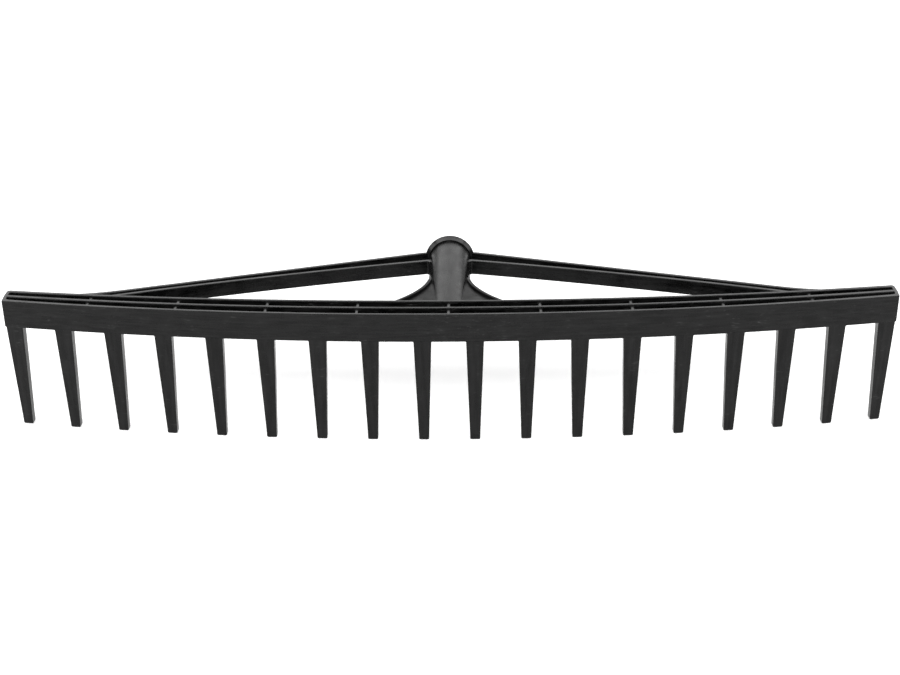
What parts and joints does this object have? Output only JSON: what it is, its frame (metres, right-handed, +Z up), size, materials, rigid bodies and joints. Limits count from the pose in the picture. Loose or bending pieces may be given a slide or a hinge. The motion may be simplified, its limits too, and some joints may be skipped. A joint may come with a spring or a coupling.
{
  "type": "garden rake head",
  "caption": "Moulded plastic bow rake head with straight tapered teeth on a bowed ribbed crossbar, side braces, and a collared tapered socket for a wooden handle.",
  "frame": {"origin": "under the middle of the head's footprint, level with the tooth tips", "axes": "+X along the crossbar, +Y from the teeth towards the handle, +Z up with the teeth pointing down"},
  "size_m": [0.6296, 0.1272, 0.1089],
  "materials": {
    "black_plastic": "satin black, as moulded, with faint flow marks and scuffs"
  },
  "bodies": {
    "root": {"tooth_01": "black_plastic", "tooth_02": "black_plastic", "tooth_03": "black_plastic", "tooth_04": "black_plastic", "tooth_05": "black_plastic", "tooth_06": "black_plastic", "tooth_07": "black_plastic", "tooth_08": "black_plastic", "tooth_09": "black_plastic", "tooth_10": "black_plastic", "tooth_11": "black_plastic", "tooth_12": "black_plastic", "tooth_13": "black_plastic", "tooth_14": "black_plastic", "tooth_15": "black_plastic", "tooth_16": "black_plastic", "tooth_17": "black_plastic", "tooth_18": "black_plastic", "crossbar_front_wall": "black_plastic", "crossbar_middle_wall": "black_plastic", "crossbar_rear_wall": "black_plastic", "crossbar_floor": "black_plastic", "end_wall_left": "black_plastic", "end_wall_right": "black_plastic", "front_rib_1": "black_plastic", "front_rib_2": "black_plastic", "front_rib_3": "black_plastic", "front_rib_4": "black_plastic", "front_rib_5": "black_plastic", "front_rib_6": "black_plastic", "front_rib_7": "black_plastic", "front_rib_8": "black_plastic", "front_rib_9": "black_plastic", "rear_rib_1": "black_plastic", "rear_rib_2": "black_plastic", "rear_rib_3": "black_plastic", "rear_rib_4": "black_plastic", "rear_rib_5": "black_plastic", "rear_rib_6": "black_plastic", "rear_rib_7": "black_plastic", "rear_rib_8": "black_plastic", "rear_rib_9": "black_plastic", "brace_left": "black_plastic", "brace_right": "black_plastic", "socket_tube": "black_plastic", "socket_collar": "black_plastic", "gusset_left": "black_plastic", "gusset_right": "black_plastic"}
  },
  "joints": []
}
